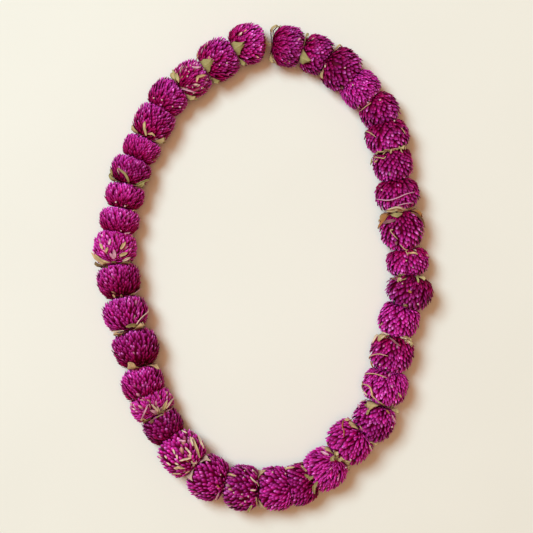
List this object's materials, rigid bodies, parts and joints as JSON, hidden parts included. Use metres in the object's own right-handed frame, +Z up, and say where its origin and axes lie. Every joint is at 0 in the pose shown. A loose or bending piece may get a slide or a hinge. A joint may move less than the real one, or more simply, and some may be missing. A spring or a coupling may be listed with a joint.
{
  "type": "fresh flower lei",
  "caption": "Fresh flower lei of round magenta globe amaranth heads strung on a thread and laid in an open oval.",
  "frame": {"origin": "middle of the oval, on the surface that the lei lies on", "axes": "+Z up from the surface, +Y along the oval towards its narrow end with the knot, +X across it to the right as seen from above"},
  "size_m": [0.2197, 0.3166, 0.0288],
  "materials": {
    "bracts": "satin papery bracts",
    "leaf": "matt leaf",
    "thread": "matt twisted cotton"
  },
  "bodies": {
    "root": {"flower_head_01": "bracts", "flower_head_02": "bracts", "flower_head_03": "bracts", "flower_head_04": "bracts", "flower_head_05": "bracts", "flower_head_06": "bracts", "flower_head_07": "bracts", "flower_head_08": "bracts", "flower_head_09": "bracts", "flower_head_10": "bracts", "flower_head_11": "bracts", "flower_head_12": "bracts", "flower_head_13": "bracts", "flower_head_14": "bracts", "flower_head_15": "bracts", "flower_head_16": "bracts", "flower_head_17": "bracts", "flower_head_18": "bracts", "flower_head_19": "bracts", "flower_head_20": "bracts", "flower_head_21": "bracts", "flower_head_22": "bracts", "flower_head_23": "bracts", "flower_head_24": "bracts", "flower_head_25": "bracts", "flower_head_26": "bracts", "flower_head_27": "bracts", "flower_head_28": "bracts", "flower_head_29": "bracts", "flower_head_30": "bracts", "flower_head_31": "bracts", "flower_head_32": "bracts", "flower_head_33": "bracts", "flower_head_34": "bracts", "flower_head_35": "bracts", "flower_head_36": "bracts", "flower_head_37": "bracts", "flower_head_38": "bracts", "leafy_bracts_01": "leaf", "leafy_bracts_02": "leaf", "leafy_bracts_03": "leaf", "leafy_bracts_07": "leaf", "leafy_bracts_09": "leaf", "leafy_bracts_11": "leaf", "leafy_bracts_13": "leaf", "leafy_bracts_15": "leaf", "leafy_bracts_16": "leaf", "leafy_bracts_17": "leaf", "leafy_bracts_20": "leaf", "leafy_bracts_22": "leaf", "leafy_bracts_24": "leaf", "leafy_bracts_26": "leaf", "leafy_bracts_27": "leaf", "leafy_bracts_29": "leaf", "leafy_bracts_32": "leaf", "leafy_bracts_34": "leaf", "leafy_bracts_36": "leaf", "leafy_bracts_37": "leaf", "leafy_bracts_38": "leaf", "thread": "thread"}
  },
  "joints": []
}
